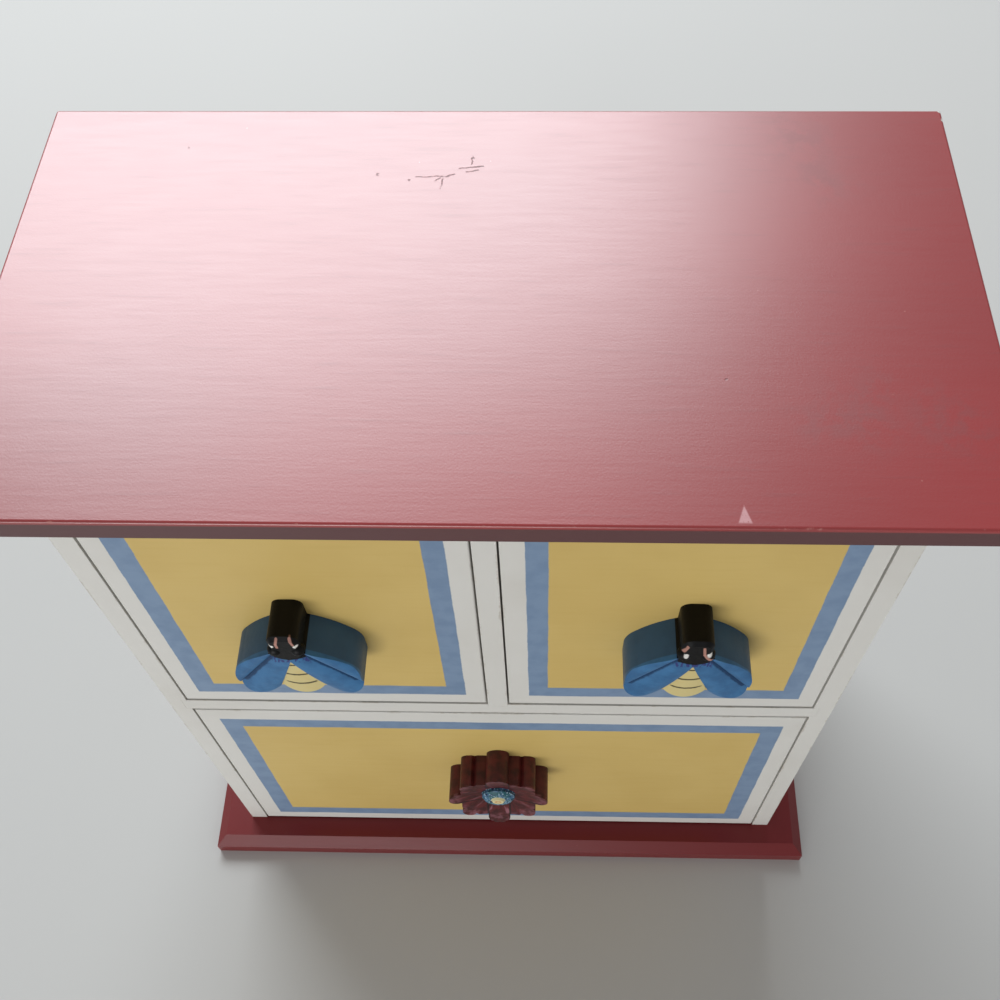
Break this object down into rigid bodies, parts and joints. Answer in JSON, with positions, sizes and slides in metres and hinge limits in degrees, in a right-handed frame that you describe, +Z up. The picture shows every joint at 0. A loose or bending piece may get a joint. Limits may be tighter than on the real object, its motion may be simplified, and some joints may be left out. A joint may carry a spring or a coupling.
{
  "type": "sewing box with drawers",
  "caption": "Small painted wooden chest for sewing things: two drawers side by side over one wide drawer, an overhanging top, a bevelled base and sculpted knobs.",
  "frame": {"origin": "on the surface the base stands on, under the middle of the top board", "axes": "+Z up, the drawers open towards -Y, +X to the right seen from the front"},
  "size_m": [0.272, 0.1484, 0.3083],
  "materials": {
    "red_paint": "barn red satin paint on thin board, worn at its edges",
    "white_paint": "off-white satin paint",
    "front_paint": "warm yellow field in a denim blue band in an off-white border, satin paint",
    "drawer_wood": "bare pale softwood",
    "bottom_ply": "bare thin plywood",
    "back_ply": "bare thin plywood",
    "dowel_wood": "bare hardwood",
    "bee_paint": "hand-painted: blue wings, black head, pale yellow tail",
    "flower_paint": "hand-painted: maroon petals, blue-green disc, cream button",
    "screw_steel": "bright zinc-plated steel",
    "brad_steel": "plain steel"
  },
  "bodies": {
    "case": {"base_board": "red_paint", "top_board": "red_paint", "left_side": "white_paint", "right_side": "white_paint", "shelf": "white_paint", "divider": "white_paint", "back_panel": "back_ply", "base_screws": "screw_steel", "top_dowels": "dowel_wood", "back_brads": "brad_steel"},
    "left_drawer": {"left_drawer_front": "front_paint", "left_drawer_left_wall": "drawer_wood", "left_drawer_right_wall": "drawer_wood", "left_drawer_rear_wall": "drawer_wood", "left_drawer_bottom": "bottom_ply", "left_drawer_brads": "brad_steel", "left_drawer_knob_screw": "screw_steel", "left_bee_knob": "bee_paint"},
    "right_drawer": {"right_drawer_front": "front_paint", "right_drawer_left_wall": "drawer_wood", "right_drawer_right_wall": "drawer_wood", "right_drawer_rear_wall": "drawer_wood", "right_drawer_bottom": "bottom_ply", "right_drawer_brads": "brad_steel", "right_drawer_knob_screw": "screw_steel", "right_bee_knob": "bee_paint"},
    "lower_drawer": {"lower_drawer_front": "front_paint", "lower_drawer_left_wall": "drawer_wood", "lower_drawer_right_wall": "drawer_wood", "lower_drawer_rear_wall": "drawer_wood", "lower_drawer_bottom": "bottom_ply", "lower_drawer_brads": "brad_steel", "lower_drawer_knob_screw": "screw_steel", "flower_knob": "flower_paint"}
  },
  "joints": [
    {"name": "left_drawer_slide", "type": "slide", "parent": "case", "child": "left_drawer", "axis": [0, -1, 0], "range_m": [0, 0.1]},
    {"name": "right_drawer_slide", "type": "slide", "parent": "case", "child": "right_drawer", "axis": [0, -1, 0], "range_m": [0, 0.1]},
    {"name": "lower_drawer_slide", "type": "slide", "parent": "case", "child": "lower_drawer", "axis": [0, -1, 0], "range_m": [0, 0.1]}
  ]
}
